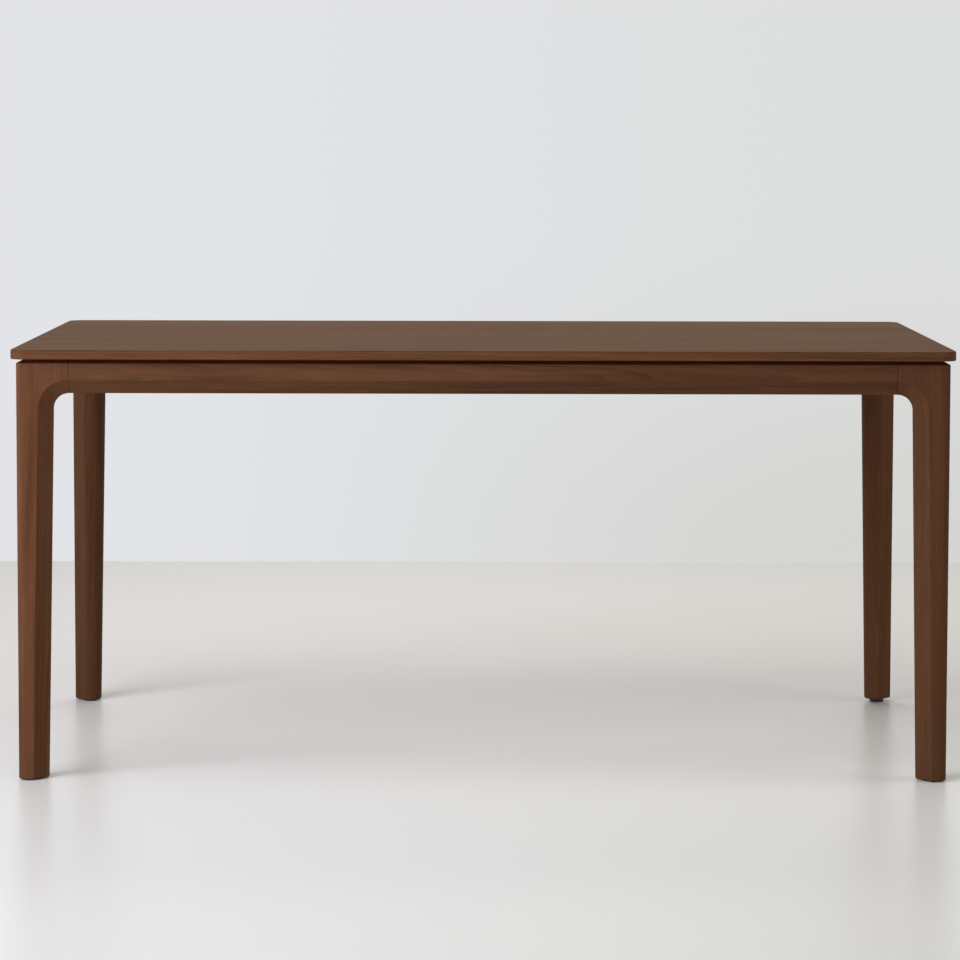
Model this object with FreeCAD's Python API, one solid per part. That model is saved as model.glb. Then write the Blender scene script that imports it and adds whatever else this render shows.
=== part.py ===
import FreeCAD, Part
import math
import os

# Dining table in walnut: a thin top that floats on a shadow gap over a four-legged frame.
# Millimetres. The origin is on the floor under the middle of the top, +Z is up, +X runs along
# the length and -Y is the front. Left and right are as seen from the front.

# The top: a layered panel with solid lippings and a sawn veneer over and under them.
top_length = 1600.0
top_width = 850.0
table_height = 735.0
top_thickness = 16.0
veneer_thickness = 2.0
lipping_width = 40.0
top_corner_radius = 26.0
top_arris_round = 1.5

# The frame: how far the top stands past it and above it, and the section of its rails.
overhang = 10.0
shadow_gap = 6.0
rail_face_height = 29.0
facet = 24.0
rail_bottom_flat = 4.0
frame_top_round = 2.5
joint_groove = 1.2

# The legs: the flat of each outer face, at the floor and at the underside of the rails.
leg_flat_floor = 26.0
leg_flat_apron = 37.8
leg_corner_radius_floor = 14.0
leg_corner_radius_head = 9.0
arch_radius = 26.5
ear_land = 1.5
foot_edge_round = 3.0

# The dowels between rails and leg heads, and between rails and bearers.
dowel_diameter = 8.0
dowel_clearance = 0.05
dowel_depth = 22.0
dowel_from_face = 16.0
dowel_from_top = 11.0
dowel_spacing = 20.0

# The spacer strips that carry the top over the frame.
spacer_setback = 12.0
spacer_width = 12.0

# The cross bearers under the top.
bearer_offset = 260.0
bearer_width = 40.0
bearer_height = 36.0
bearer_dowel_depth = 18.0
bearer_dowel_spacing = 20.0
bearer_dowel_below_top = 20.0

# The corner blocks with their hanger bolts.
block_clearance = 6.0
block_thickness = 28.0
block_height = 40.0
block_below_top = 3.0
bolt_diameter = 8.0
bolt_embedment = 45.0
bolt_tail = 4.0
bolt_hole_clearance = 0.5
thread_clearance = 0.05
washer_diameter = 24.0
washer_thickness = 2.0
washer_clearance = 0.2
nut_across_flats = 13.0
nut_height = 6.5
block_screw_inset = 20.0
block_screw_spacing = 16.0
block_screw_seat = 14.0

# Wood screws.
screw_diameter = 4.0
screw_head_diameter = 8.0
screw_head_height = 2.5
screw_clearance = 0.1
counterbore_clearance = 1.0
block_screw_length = 28.0
bracket_screw_length = 12.0
bearer_counterbore = 12.0
bearer_screw_spacing = 250.0
top_screw_bite = 10.0

# The angle brackets that hold the top down.
bracket_leg = 28.0
bracket_width = 24.0
bracket_thickness = 2.0
bracket_spacing_long = 500.0
bracket_spacing_short = 300.0
bracket_screw_from_edge = 10.0

# The levelling feet. Each is wound out by its own amount until the table stands level.
foot_out = {"front_left": 2.0, "front_right": 2.0, "rear_left": 2.0, "rear_right": 6.5}
foot_travel = 12.0
foot_inset = 26.5
pad_diameter = 26.0
pad_height = 5.0
pad_floor = 1.5
pad_edge_round = 1.0
pad_side_clearance = 1.0
pad_top_clearance = 0.5
stem_diameter = 8.0
stem_end_clearance = 2.0
insert_diameter = 14.0
insert_length = 20.0

# Places and sizes worked out from the ones above.
half_length = top_length / 2 - overhang
half_width = top_width / 2 - overhang
top_underside = table_height - top_thickness
frame_top = top_underside - shadow_gap
rail_height = rail_face_height + facet
rail_bottom = frame_top - rail_height
rail_thickness = facet + rail_bottom_flat
floor_width = leg_flat_floor + facet
apron_width = leg_flat_apron + facet
leg_taper = (apron_width - floor_width) / rail_bottom
slant = math.sqrt(1 + leg_taper ** 2)
arch_centre = floor_width + leg_taper * (rail_bottom - arch_radius) + arch_radius * slant
ear_length = arch_centre + ear_land
dowel_heights = [frame_top - dowel_from_top - step * dowel_spacing for step in range(2)]
pad_recess_depth = pad_height + pad_top_clearance
stem_length = pad_recess_depth + insert_length + foot_travel - pad_floor
block_near = ear_length + block_clearance + rail_thickness
block_far = block_near + block_thickness * math.sqrt(2)
block_top = frame_top - block_below_top
block_middle = block_top - block_height / 2
diagonal = FreeCAD.Vector(1, 1, 0).normalize()

corners = {
    "front_left": (-1, -1),
    "front_right": (1, -1),
    "rear_left": (-1, 1),
    "rear_right": (1, 1),
}


def point(x, y, z):
    return FreeCAD.Vector(x, y, z)


def block_between(low, high):
    """An upright block between two opposite corners."""
    size = high - low
    return Part.makeBox(size.x, size.y, size.z, low)


def rod(diameter, start, end):
    """A plain round bar from one point to another."""
    along = end - start
    return Part.makeCylinder(diameter / 2, along.Length, start, along)


def screw(seat, direction, length):
    """A wood screw whose head rests on its seat and whose shank runs along the direction."""
    shank = rod(screw_diameter, seat, seat + direction * length)
    head = rod(screw_head_diameter, seat - direction * screw_head_height, seat)
    return shank.fuse(head).Solids[0]


def screw_hole(seat, direction, length, counterbore):
    """The hole for a screw, with a counterbore that lets its head in from outside."""
    shank = rod(screw_diameter + 2 * screw_clearance, seat, seat + direction * length)
    if counterbore == 0:
        return shank
    mouth = rod(screw_head_diameter + 2 * counterbore_clearance, seat - direction * counterbore, seat)
    return shank.fuse(mouth)


def edges_where(shape, wanted):
    """The edges whose middle passes a test."""
    return [edge for edge in shape.Edges if wanted(edge.CenterOfMass)]


def at(value, target):
    """Whether two coordinates are the same place."""
    return abs(value - target) < 0.01


def swap_axes(shape):
    """The same piece with its X and Y swapped, as for an end rail made like a front one."""
    return shape.mirror(point(0, 0, 0), point(1, -1, 0))


def to_corner(shape, corner):
    """Moves a piece made around an outer corner at the origin, X and Y inwards, to its own corner."""
    side, depth = corners[corner]
    placed = shape.copy()
    if side > 0:
        placed = placed.mirror(point(0, 0, 0), point(1, 0, 0))
    if depth > 0:
        placed = placed.mirror(point(0, 0, 0), point(0, 1, 0))
    placed.translate(point(side * half_length, depth * half_width, 0))
    return placed


def at_every_corner(make):
    """One copy of a piece at each corner."""
    return [to_corner(make(), corner) for corner in corners]


def save(name, pieces):
    """Writes a node: one solid, or a group of like solids."""
    shape = pieces if isinstance(pieces, Part.Shape) else Part.makeCompound(pieces)
    for solid in shape.Solids:
        print(name, "valid" if solid.isValid() else "NOT VALID", round(solid.Volume / 1000, 2), "cm3")
    shape.exportStep("parts/" + name + ".step")


# The top.

def rounded_slab(bottom, thickness):
    """A flat slab of the top's full outline, with its rounded corners."""
    low = point(-top_length / 2, -top_width / 2, bottom)
    high = point(top_length / 2, top_width / 2, bottom + thickness)
    slab = block_between(low, high)
    upright = [edge for edge in slab.Edges if at(edge.BoundBox.ZLength, thickness)]
    return slab.makeFillet(top_corner_radius, upright)


def veneer(bottom, outer_level):
    """A face or backing veneer. Its arris, at the outer level, is rounded all the way round."""
    sheet = rounded_slab(bottom, veneer_thickness)
    arris = edges_where(sheet, lambda middle: at(middle.z, outer_level))
    return sheet.makeFillet(top_arris_round, arris)


def core_outline(margin):
    """Half the length and half the width of the core, grown by a margin."""
    return top_length / 2 - lipping_width + margin, top_width / 2 - lipping_width + margin


def core():
    half_x, half_y = core_outline(0)
    low = point(-half_x, -half_y, top_underside + veneer_thickness)
    high = point(half_x, half_y, table_height - veneer_thickness)
    return block_between(low, high)


def lipping(corner_a, corner_b):
    """One side of the mitred frame of solid wood round the core."""
    inner_x, inner_y = core_outline(0)
    outer_x, outer_y = core_outline(lipping_width)
    level = top_underside + veneer_thickness
    corner_points = [
        point(corner_a[0] * inner_x, corner_a[1] * inner_y, level),
        point(corner_a[0] * outer_x, corner_a[1] * outer_y, level),
        point(corner_b[0] * outer_x, corner_b[1] * outer_y, level),
        point(corner_b[0] * inner_x, corner_b[1] * inner_y, level),
    ]
    face = Part.Face(Part.makePolygon(corner_points + corner_points[:1]))
    strip = face.extrude(point(0, 0, top_thickness - 2 * veneer_thickness))
    return strip.common(rounded_slab(level, top_thickness - 2 * veneer_thickness))


# The rails.

def rail(length, other_holes):
    """A rail along X with its outer face on Y = 0, faceted below and grooved at both ends."""
    outline = [
        point(-length / 2, 0, rail_bottom + facet),
        point(-length / 2, 0, frame_top),
        point(-length / 2, rail_thickness, frame_top),
        point(-length / 2, rail_thickness, rail_bottom),
        point(-length / 2, facet, rail_bottom),
    ]
    body = Part.Face(Part.makePolygon(outline + outline[:1])).extrude(point(length, 0, 0))
    top_edge = edges_where(body, lambda middle: at(middle.y, 0) and at(middle.z, frame_top))
    body = body.makeFillet(frame_top_round, top_edge)
    body = groove_end(body, "x", -length / 2)
    body = groove_end(body, "x", length / 2)
    for end in (-1, 1):
        for height in dowel_heights:
            start = point(end * length / 2, dowel_from_face, height)
            body = body.cut(dowel_hole(start, point(-end, 0, 0), dowel_depth))
    for hole in other_holes:
        body = body.cut(hole)
    return body


def groove_end(body, axis, place):
    """Breaks the outer arrises of an end, so that two ends meet in a fine V groove."""
    def on_outer_arris(middle):
        along = middle.x if axis == "x" else middle.y
        depth = middle.y if axis == "x" else middle.x
        on_face = at(depth, 0)
        on_facet = at(depth, facet / 2) and at(middle.z, rail_bottom + facet / 2)
        return at(along, place) and (on_face or on_facet)
    return body.makeChamfer(joint_groove, edges_where(body, on_outer_arris))


def dowel_hole(start, direction, depth):
    return rod(dowel_diameter + 2 * dowel_clearance, start, start + direction * depth)


def dowel(middle, direction, depth):
    return rod(dowel_diameter, middle - direction * depth, middle + direction * depth)


# The legs.

def leg_width(height):
    return floor_width + leg_taper * height


def post(foot):
    """The post: square, its two inner faces tapering to the foot, its inner corner well rounded."""
    outline = [
        point(0, 0, foot),
        point(leg_width(foot), 0, foot),
        point(leg_width(frame_top), 0, frame_top),
        point(0, 0, frame_top),
    ]
    reach = point(0, leg_width(frame_top), 0)
    tapered = Part.Face(Part.makePolygon(outline + outline[:1])).extrude(reach)
    body = tapered.common(swap_axes(tapered)).Solids[0]
    inner_corner = edges_where(body, lambda middle: at(middle.x, middle.y) and middle.x > floor_width / 2)
    return round_upright(body, inner_corner[0], inner_radius(foot), inner_radius(frame_top))


def inner_radius(height):
    """The round of the post's inner corner, which starts behind the layers of its outer faces."""
    return leg_width(height) - rail_thickness


def round_upright(body, edge, low_radius, high_radius):
    """Rounds an upright edge with one radius at its foot and another at its top."""
    first, last = edge.Vertexes
    if first.Z < last.Z:
        return body.makeFillet(low_radius, high_radius, [edge])
    return body.makeFillet(high_radius, low_radius, [edge])


def side(foot):
    """The layer behind one outer face of a leg: the post's width, its arch and its ear."""
    centre = point(arch_centre, 0, rail_bottom - arch_radius)
    spring = centre + point(-1, 0, leg_taper) * (arch_radius / slant)
    crown = centre + point(0, 0, arch_radius)
    middle = centre + (spring + crown - centre * 2).normalize() * arch_radius
    rim = [
        crown,
        point(ear_length, 0, rail_bottom),
        point(ear_length, 0, frame_top),
        point(0, 0, frame_top),
        point(0, 0, foot),
        point(leg_width(foot), 0, foot),
        spring,
    ]
    edges = [Part.makeLine(rim[step], rim[step + 1]) for step in range(6)]
    edges.append(Part.Arc(spring, middle, crown).toShape())
    return Part.Face(Part.Wire(edges)).extrude(point(0, rail_thickness, 0))


def cut_facet(body, foot):
    """Cuts the broad facet up the inner edge of the front face, round the arch and along the ear."""
    def on_inner_edge(edge):
        middle = edge.CenterOfMass
        on_face = at(edge.BoundBox.YMin, 0) and at(edge.BoundBox.YMax, 0)
        inside = foot < middle.z < rail_bottom + joint_groove and middle.x < ear_length
        return on_face and inside and not at(middle.z, foot) and not at(middle.x, 0)
    return body.makeChamfer(facet, [edge for edge in body.Edges if on_inner_edge(edge)])


def leg(foot):
    """A leg made around its outer corner, which stands on X = Y = 0."""
    front = side(foot)
    body = post(foot).fuse([front, swap_axes(front)]).removeSplitter().Solids[0]
    body = cut_facet(body, foot)
    body = swap_axes(cut_facet(swap_axes(body), foot))
    outer_corner = edges_where(body, lambda middle: at(middle.x, 0) and at(middle.y, 0))
    body = round_upright(body, outer_corner[0], leg_corner_radius_floor, leg_corner_radius_head)
    body = round_top(body)
    body = groove_end(body, "x", ear_length)
    body = groove_end(body, "y", ear_length)
    body = body.makeFillet(foot_edge_round, edges_where(body, lambda middle: at(middle.z, foot)))
    for height in dowel_heights:
        hole = dowel_hole(point(ear_length, dowel_from_face, height), point(-1, 0, 0), dowel_depth)
        body = body.cut([hole, swap_axes(hole)])
    bolt_start, bolt_end = bolt_ends()
    body = body.cut(rod(bolt_diameter + 2 * thread_clearance, bolt_start, bolt_end))
    return body.cut(foot_holes(foot)).removeSplitter().Solids[0]


def round_top(body):
    """Rounds the outer edges of the head's top, from one ear round the corner to the other."""
    def on_rim(middle):
        near_face = min(middle.x, middle.y) < leg_corner_radius_head / 2
        return at(middle.z, frame_top) and near_face
    return body.makeFillet(frame_top_round, edges_where(body, on_rim))


def foot_holes(foot):
    """The recess for the pad, the seat of the threaded insert and the room for the stem."""
    axis = point(foot_inset, foot_inset, foot)
    up = point(0, 0, 1)
    recess = rod(pad_diameter + 2 * pad_side_clearance, axis, axis + up * pad_recess_depth)
    seat_end = axis + up * (pad_recess_depth + insert_length)
    seat = rod(insert_diameter, axis, seat_end)
    stem_end = axis + up * (pad_floor + stem_length + stem_end_clearance)
    room = rod(stem_diameter + 2 * thread_clearance, axis, stem_end)
    return recess.fuse([seat, room])


# The corner blocks, with the bolts that pull the legs to the rails.

def bolt_ends():
    """Where a hanger bolt starts in the leg and ends past its nut."""
    radius = inner_radius(block_middle)
    inner_corner = (leg_width(block_middle) - radius) * math.sqrt(2) + radius
    start = inner_corner - bolt_embedment
    end = block_far / math.sqrt(2) + washer_thickness + nut_height + bolt_tail
    height = point(0, 0, block_middle)
    return height + diagonal * start, height + diagonal * end


def corner_block():
    """A bar set across the corner behind the leg, flat against both rails."""
    outline = [
        point(block_near - rail_thickness, rail_thickness, block_top - block_height),
        point(block_far - rail_thickness, rail_thickness, block_top - block_height),
        point(rail_thickness, block_far - rail_thickness, block_top - block_height),
        point(rail_thickness, block_near - rail_thickness, block_top - block_height),
    ]
    body = Part.Face(Part.makePolygon(outline + outline[:1])).extrude(point(0, 0, block_height))
    start, end = bolt_ends()
    body = body.cut(rod(bolt_diameter + 2 * bolt_hole_clearance, start, end))
    for seat in block_screw_seats():
        hole = screw_hole(seat, point(0, -1, 0), block_screw_length, block_thickness)
        body = body.cut([hole, swap_axes(hole)])
    return body


def block_screw_seats():
    """Where the heads of the screws along Y rest inside the block."""
    x = block_near - rail_thickness + block_screw_inset
    y = rail_thickness + block_screw_seat
    return [point(x, y, block_middle + step * block_screw_spacing / 2) for step in (-1, 1)]


def block_screws():
    """The four screws of one corner block, two into each rail."""
    along_y = [screw(seat, point(0, -1, 0), block_screw_length) for seat in block_screw_seats()]
    return along_y + [swap_axes(piece) for piece in along_y]


def hanger_bolt():
    start, end = bolt_ends()
    return rod(bolt_diameter, start, end)


def washer():
    seat = point(0, 0, block_middle) + diagonal * (block_far / math.sqrt(2))
    disc = rod(washer_diameter, seat, seat + diagonal * washer_thickness)
    return disc.cut(rod(bolt_diameter + 2 * washer_clearance, seat, seat + diagonal * washer_thickness))


def nut():
    seat = point(0, 0, block_middle) + diagonal * (block_far / math.sqrt(2) + washer_thickness)
    across_corners = nut_across_flats / math.cos(math.radians(30))
    sideways = point(0, 0, 1)
    level = diagonal.cross(sideways)
    rim = []
    for step in range(7):
        turn = math.radians(60 * step)
        spoke = sideways * math.cos(turn) + level * math.sin(turn)
        rim.append(seat + spoke * (across_corners / 2))
    body = Part.Face(Part.makePolygon(rim)).extrude(diagonal * nut_height)
    return body.cut(rod(bolt_diameter + 2 * thread_clearance, seat, seat + diagonal * nut_height))


# The spacer strips, the bearers and the brackets under the top.

def long_spacer():
    """A strip along the front, full length, under the top's underside."""
    reach = half_length - spacer_setback
    low = point(-reach, spacer_setback, frame_top)
    return block_between(low, point(reach, spacer_setback + spacer_width, top_underside))


def short_spacer():
    """A strip along an end, made along X, that fits between the two long ones."""
    reach = half_width - spacer_setback - spacer_width
    low = point(-reach, spacer_setback, frame_top)
    return block_between(low, point(reach, spacer_setback + spacer_width, top_underside))


def bearer():
    """A bearer across the frame in the middle of the length, before it is moved sideways."""
    reach = half_width - rail_thickness
    low = point(-bearer_width / 2, -reach, top_underside - bearer_height)
    body = block_between(low, point(bearer_width / 2, reach, top_underside))
    for end in (-1, 1):
        for middle in bearer_dowel_middles(end):
            body = body.cut(dowel_hole(middle, point(0, -end, 0), bearer_dowel_depth))
    for seat in bearer_screw_seats():
        length = top_underside - seat.z
        body = body.cut(screw_hole(seat, point(0, 0, 1), length, bearer_counterbore))
    return body


def bearer_dowel_middles(end):
    """Where the dowels of a bearer cross the joint at its front (-1) or rear (1) end."""
    y = end * (half_width - rail_thickness)
    z = top_underside - bearer_dowel_below_top
    return [point(step * bearer_dowel_spacing / 2, y, z) for step in (-1, 1)]


def bearer_screw_seats():
    z = top_underside - bearer_height + bearer_counterbore
    return [point(0, step * bearer_screw_spacing, z) for step in (-1, 0, 1)]


def bracket():
    """An angle bracket at X = 0 on the inner face of a rail, under the top."""
    low = point(-bracket_width / 2, rail_thickness, top_underside - bracket_leg)
    high = point(bracket_width / 2, rail_thickness + bracket_thickness, top_underside)
    upright = block_between(low, high)
    low = point(-bracket_width / 2, rail_thickness, top_underside - bracket_thickness)
    high = point(bracket_width / 2, rail_thickness + bracket_leg, top_underside)
    body = upright.fuse(block_between(low, high)).removeSplitter()
    rail_seat, top_seat = bracket_seats()
    body = body.cut(screw_hole(rail_seat, point(0, -1, 0), bracket_thickness, 0))
    return body.cut(screw_hole(top_seat, point(0, 0, 1), bracket_thickness, 0))


def bracket_seats():
    """Where the heads of the rail screw and the top screw rest on a bracket."""
    z = top_underside - bracket_leg + bracket_screw_from_edge
    y = rail_thickness + bracket_leg - bracket_screw_from_edge
    rail_seat = point(0, rail_thickness + bracket_thickness, z)
    return rail_seat, point(0, y, top_underside - bracket_thickness)


def moved(shape, x):
    copy = shape.copy()
    copy.translate(point(x, 0, 0))
    return copy


def along_long_rails(make):
    """Three copies of a piece along the front rail and three along the rear one."""
    placed = []
    for step in (-1, 0, 1):
        front = moved(make(), step * bracket_spacing_long)
        front.translate(point(0, -half_width, 0))
        placed += [front, front.mirror(point(0, 0, 0), point(0, 1, 0))]
    return placed


def along_short_rails(make):
    """Two copies of a piece along each end rail."""
    placed = []
    for step in (-1, 1):
        left = swap_axes(moved(make(), step * bracket_spacing_short / 2))
        left.translate(point(-half_length, 0, 0))
        placed += [left, left.mirror(point(0, 0, 0), point(1, 0, 0))]
    return placed


def along_rails(make):
    return along_long_rails(make) + along_short_rails(make)


def bracket_rail_screw():
    return screw(bracket_seats()[0], point(0, -1, 0), bracket_screw_length)


def bracket_top_screw():
    return screw(bracket_seats()[1], point(0, 0, 1), bracket_thickness + top_screw_bite)


# The levelling feet.

def foot_axis(height):
    return point(foot_inset, foot_inset, height)


def insert(corner):
    low = foot_out[corner] + pad_recess_depth
    sleeve = rod(insert_diameter, foot_axis(low), foot_axis(low + insert_length))
    bore = rod(stem_diameter + 2 * thread_clearance, foot_axis(low), foot_axis(low + insert_length))
    return sleeve.cut(bore)


def stem():
    return rod(stem_diameter, foot_axis(pad_floor), foot_axis(pad_floor + stem_length))


def pad():
    """A round pad on the floor, with a blind socket for the stem."""
    disc = rod(pad_diameter, foot_axis(0), foot_axis(pad_height))
    rim = [edge for edge in disc.Edges if at(edge.Length, math.pi * pad_diameter)]
    disc = disc.makeFillet(pad_edge_round, rim)
    return disc.cut(rod(stem_diameter + 2 * thread_clearance, foot_axis(pad_floor), foot_axis(pad_height)))


# The holes that other pieces need in the rails and in the top.

def rail_block_holes(half_run):
    """The pilot holes of the corner-block screws, in a rail along X on a side of the frame."""
    holes = []
    for seat in block_screw_seats():
        for end in (-1, 1):
            start = point(end * (half_run - seat.x), seat.y, seat.z)
            holes.append(screw_hole(start, point(0, -1, 0), block_screw_length, 0))
    return holes


def rail_bracket_holes(places):
    rail_seat = bracket_seats()[0]
    hole = screw_hole(rail_seat, point(0, -1, 0), bracket_screw_length, 0)
    return [moved(hole, place) for place in places]


def rail_bearer_holes():
    holes = []
    for place in (-bearer_offset, bearer_offset):
        for middle in bearer_dowel_middles(-1):
            start = point(middle.x + place, middle.y + half_width, middle.z)
            holes.append(dowel_hole(start, point(0, -1, 0), bearer_dowel_depth))
    return holes


def top_screws():
    """Every screw that goes up into the top."""
    bearer_screws = []
    for place in (-bearer_offset, bearer_offset):
        for seat in bearer_screw_seats():
            length = top_underside - seat.z + top_screw_bite
            bearer_screws.append(moved(screw(seat, point(0, 0, 1), length), place))
    return along_rails(bracket_top_screw), bearer_screws


# Making and writing every node.

os.makedirs("parts", exist_ok=True)

bracket_top_screws, bearer_screws = top_screws()
screw_room = []
for piece in bracket_top_screws + bearer_screws:
    middle = piece.CenterOfMass
    seat = point(middle.x, middle.y, top_underside)
    screw_room.append(screw_hole(seat, point(0, 0, 1), top_screw_bite, 0))

save("tabletop_core", core().cut(screw_room))
save("tabletop_face_veneer", veneer(table_height - veneer_thickness, table_height))
save("tabletop_backing_veneer", veneer(top_underside, top_underside).cut(screw_room))
save("lipping_front", lipping((-1, -1), (1, -1)))
save("lipping_rear", lipping((-1, 1), (1, 1)))
save("lipping_left", lipping((-1, -1), (-1, 1)))
save("lipping_right", lipping((1, -1), (1, 1)))

for corner in corners:
    save("leg_" + corner, to_corner(leg(foot_out[corner]), corner))

long_length = 2 * (half_length - ear_length)
long_places = [step * bracket_spacing_long for step in (-1, 0, 1)]
long_holes = rail_block_holes(half_length) + rail_bracket_holes(long_places)
front_rail = rail(long_length, long_holes + rail_bearer_holes())
front_rail.translate(point(0, -half_width, 0))
save("rail_front", front_rail)
save("rail_rear", front_rail.mirror(point(0, 0, 0), point(0, 1, 0)))

short_length = 2 * (half_width - ear_length)
short_places = [step * bracket_spacing_short / 2 for step in (-1, 1)]
short_holes = rail_block_holes(half_width) + rail_bracket_holes(short_places)
left_rail = swap_axes(rail(short_length, short_holes))
left_rail.translate(point(-half_length, 0, 0))
save("rail_left", left_rail)
save("rail_right", left_rail.mirror(point(0, 0, 0), point(1, 0, 0)))

rail_dowels = []
for corner in corners:
    for height in dowel_heights:
        piece = dowel(point(ear_length, dowel_from_face, height), point(1, 0, 0), dowel_depth)
        rail_dowels += [to_corner(piece, corner), to_corner(swap_axes(piece), corner)]
save("rail_dowels", rail_dowels)

front_spacer = long_spacer()
front_spacer.translate(point(0, -half_width, 0))
save("spacer_front", front_spacer)
save("spacer_rear", front_spacer.mirror(point(0, 0, 0), point(0, 1, 0)))
left_spacer = swap_axes(short_spacer())
left_spacer.translate(point(-half_length, 0, 0))
save("spacer_left", left_spacer)
save("spacer_right", left_spacer.mirror(point(0, 0, 0), point(1, 0, 0)))

save("bearer_left", moved(bearer(), -bearer_offset))
save("bearer_right", moved(bearer(), bearer_offset))
bearer_dowels = []
for place in (-bearer_offset, bearer_offset):
    for middle in bearer_dowel_middles(-1) + bearer_dowel_middles(1):
        bearer_dowels.append(moved(dowel(middle, point(0, 1, 0), bearer_dowel_depth), place))
save("bearer_dowels", bearer_dowels)
save("bearer_screws", bearer_screws)

for corner in corners:
    save("corner_block_" + corner, to_corner(corner_block(), corner))
save("hanger_bolts", at_every_corner(hanger_bolt))
save("hanger_washers", at_every_corner(washer))
save("hanger_nuts", at_every_corner(nut))
save("corner_block_screws", [to_corner(piece, corner) for corner in corners for piece in block_screws()])

save("top_brackets", along_rails(bracket))
save("bracket_rail_screws", along_rails(bracket_rail_screw))
save("bracket_top_screws", bracket_top_screws)

save("foot_inserts", [to_corner(insert(corner), corner) for corner in corners])
for corner in corners:
    save("foot_stem_" + corner, to_corner(stem(), corner))
    save("foot_pad_" + corner, to_corner(pad(), corner))
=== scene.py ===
import math

import bpy
from mathutils import Matrix, Vector


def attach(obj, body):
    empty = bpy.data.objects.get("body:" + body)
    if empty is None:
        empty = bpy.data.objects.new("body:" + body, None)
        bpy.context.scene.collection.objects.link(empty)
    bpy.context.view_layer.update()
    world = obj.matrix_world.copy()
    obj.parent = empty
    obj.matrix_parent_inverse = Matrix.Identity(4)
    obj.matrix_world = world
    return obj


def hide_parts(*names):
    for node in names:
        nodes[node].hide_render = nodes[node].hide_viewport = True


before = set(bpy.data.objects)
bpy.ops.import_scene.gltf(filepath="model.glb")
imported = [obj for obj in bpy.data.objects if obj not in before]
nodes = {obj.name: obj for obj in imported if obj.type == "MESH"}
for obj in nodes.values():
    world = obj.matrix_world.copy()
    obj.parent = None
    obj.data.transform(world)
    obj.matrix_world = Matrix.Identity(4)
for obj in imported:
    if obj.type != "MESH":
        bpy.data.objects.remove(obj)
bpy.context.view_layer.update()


# ---------------------------------------------------------------------------------------------
# The camera. It stands six metres off, straight in front of the long side and a little above the
# top, with a long lens, so that the top shows as a thin sliver and the uprights stay upright.

camera_lens_mm = 125.8
camera_film_mm = 36.0
camera_eye = Vector((0.0035, -6.0611, 1.1258))
camera_tilt_down = 0.0647
camera_turn_left = 0.0016
camera_roll = 0.0020
camera_frame_shift = -0.15
camera_sight = 100.0

camera_data = bpy.data.cameras.new("camera")
camera_data.lens = camera_lens_mm
camera_data.sensor_width = camera_film_mm
camera_data.shift_y = camera_frame_shift
camera_data.clip_end = camera_sight
camera = bpy.data.objects.new("camera", camera_data)
bpy.context.scene.collection.objects.link(camera)
camera.matrix_world = (
    Matrix.Translation(camera_eye)
    @ Matrix.Rotation(camera_turn_left, 4, "Z")
    @ Matrix.Rotation(math.radians(90) - camera_tilt_down, 4, "X")
    @ Matrix.Rotation(camera_roll, 4, "Z")
)
bpy.context.scene.camera = camera
bpy.context.scene.view_settings.view_transform = "Standard"


# ---------------------------------------------------------------------------------------------
# The floor. A pale, painted floor with a little gloss, with painted light on it: paler in front of
# the table, most of all on the right. Behind the table it falls away out of sight of the camera,
# so that the wall seems to begin there. Far out it fades into the room.

floor_colour = (236, 232, 229)
floor_painted_light_colour = (253, 251, 249)
floor_painted_light_from = -0.1
floor_painted_light_to = -0.6
floor_painted_light_left = -1.2
floor_painted_light_right = 0.4
floor_painted_light_share_left = 0.2
floor_cloud_tone = 3
floor_cloud_scale = 1.6
floor_cloud_detail = 3.0
floor_roughness = 0.31
floor_gloss = 0.4
floor_reach = 18.0
floor_rear_edge = 2.42
floor_fall_reach = 3.0
floor_fall_drop = 0.45
floor_fade_from = 2.9
floor_fade_to = 4.6
level_tolerance = 0.0001


def linear(red, green, blue):
    """A screen colour, 0 to 255, as the linear colour that a shader takes."""
    def channel(value):
        """One channel without the screen's own curve."""
        value = value / 255
        return value / 12.92 if value <= 0.04045 else ((value + 0.055) / 1.055) ** 2.4
    return (channel(red), channel(green), channel(blue), 1.0)


def new_node(tree, kind, inputs=None, **settings):
    """Adds a node, sets its options, and fills its inputs with values or with other outputs."""
    made = tree.nodes.new(kind)
    for name, value in settings.items():
        setattr(made, name, value)
    for name, value in (inputs or {}).items():
        socket = made.inputs[name]
        if isinstance(value, bpy.types.NodeSocket):
            tree.links.new(value, socket)
        else:
            socket.default_value = value
    return made


def maths(tree, operation, *values):
    """A Math node's result."""
    return new_node(tree, "ShaderNodeMath", dict(enumerate(values)), operation=operation).outputs[0]


def remap(tree, value, low, high, new_low=0.0, new_high=1.0):
    """A value moved from one range to another with a soft start and end."""
    made = new_node(tree, "ShaderNodeMapRange", {
        "Value": value, "From Min": low, "From Max": high, "To Min": new_low, "To Max": new_high,
    }, interpolation_type="SMOOTHSTEP")
    return made.outputs["Result"]


def mixed(tree, share, first, second):
    """Two colours mixed by a share."""
    made = new_node(tree, "ShaderNodeMix", {0: share, 6: first, 7: second}, data_type="RGBA")
    return made.outputs[2]


def noise(tree, vector, scale, detail=2.0, roughness=0.5, dimensions="3D"):
    """A Noise node, over a vector or, in one dimension, over a number."""
    source = "W" if dimensions == "1D" else "Vector"
    return new_node(tree, "ShaderNodeTexNoise", {
        source: vector, "Scale": scale, "Detail": detail, "Roughness": roughness,
    }, noise_dimensions=dimensions)


def new_material(name):
    """A material with nothing but its Principled shader: the node tree and the shader."""
    material = bpy.data.materials.new(name)
    material.use_nodes = True
    return material, material.node_tree, material.node_tree.nodes["Principled BSDF"]


def edit_mode(on):
    """Goes into edit mode or out of it."""
    bpy.ops.object.mode_set(mode="EDIT" if on else "OBJECT")


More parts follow.
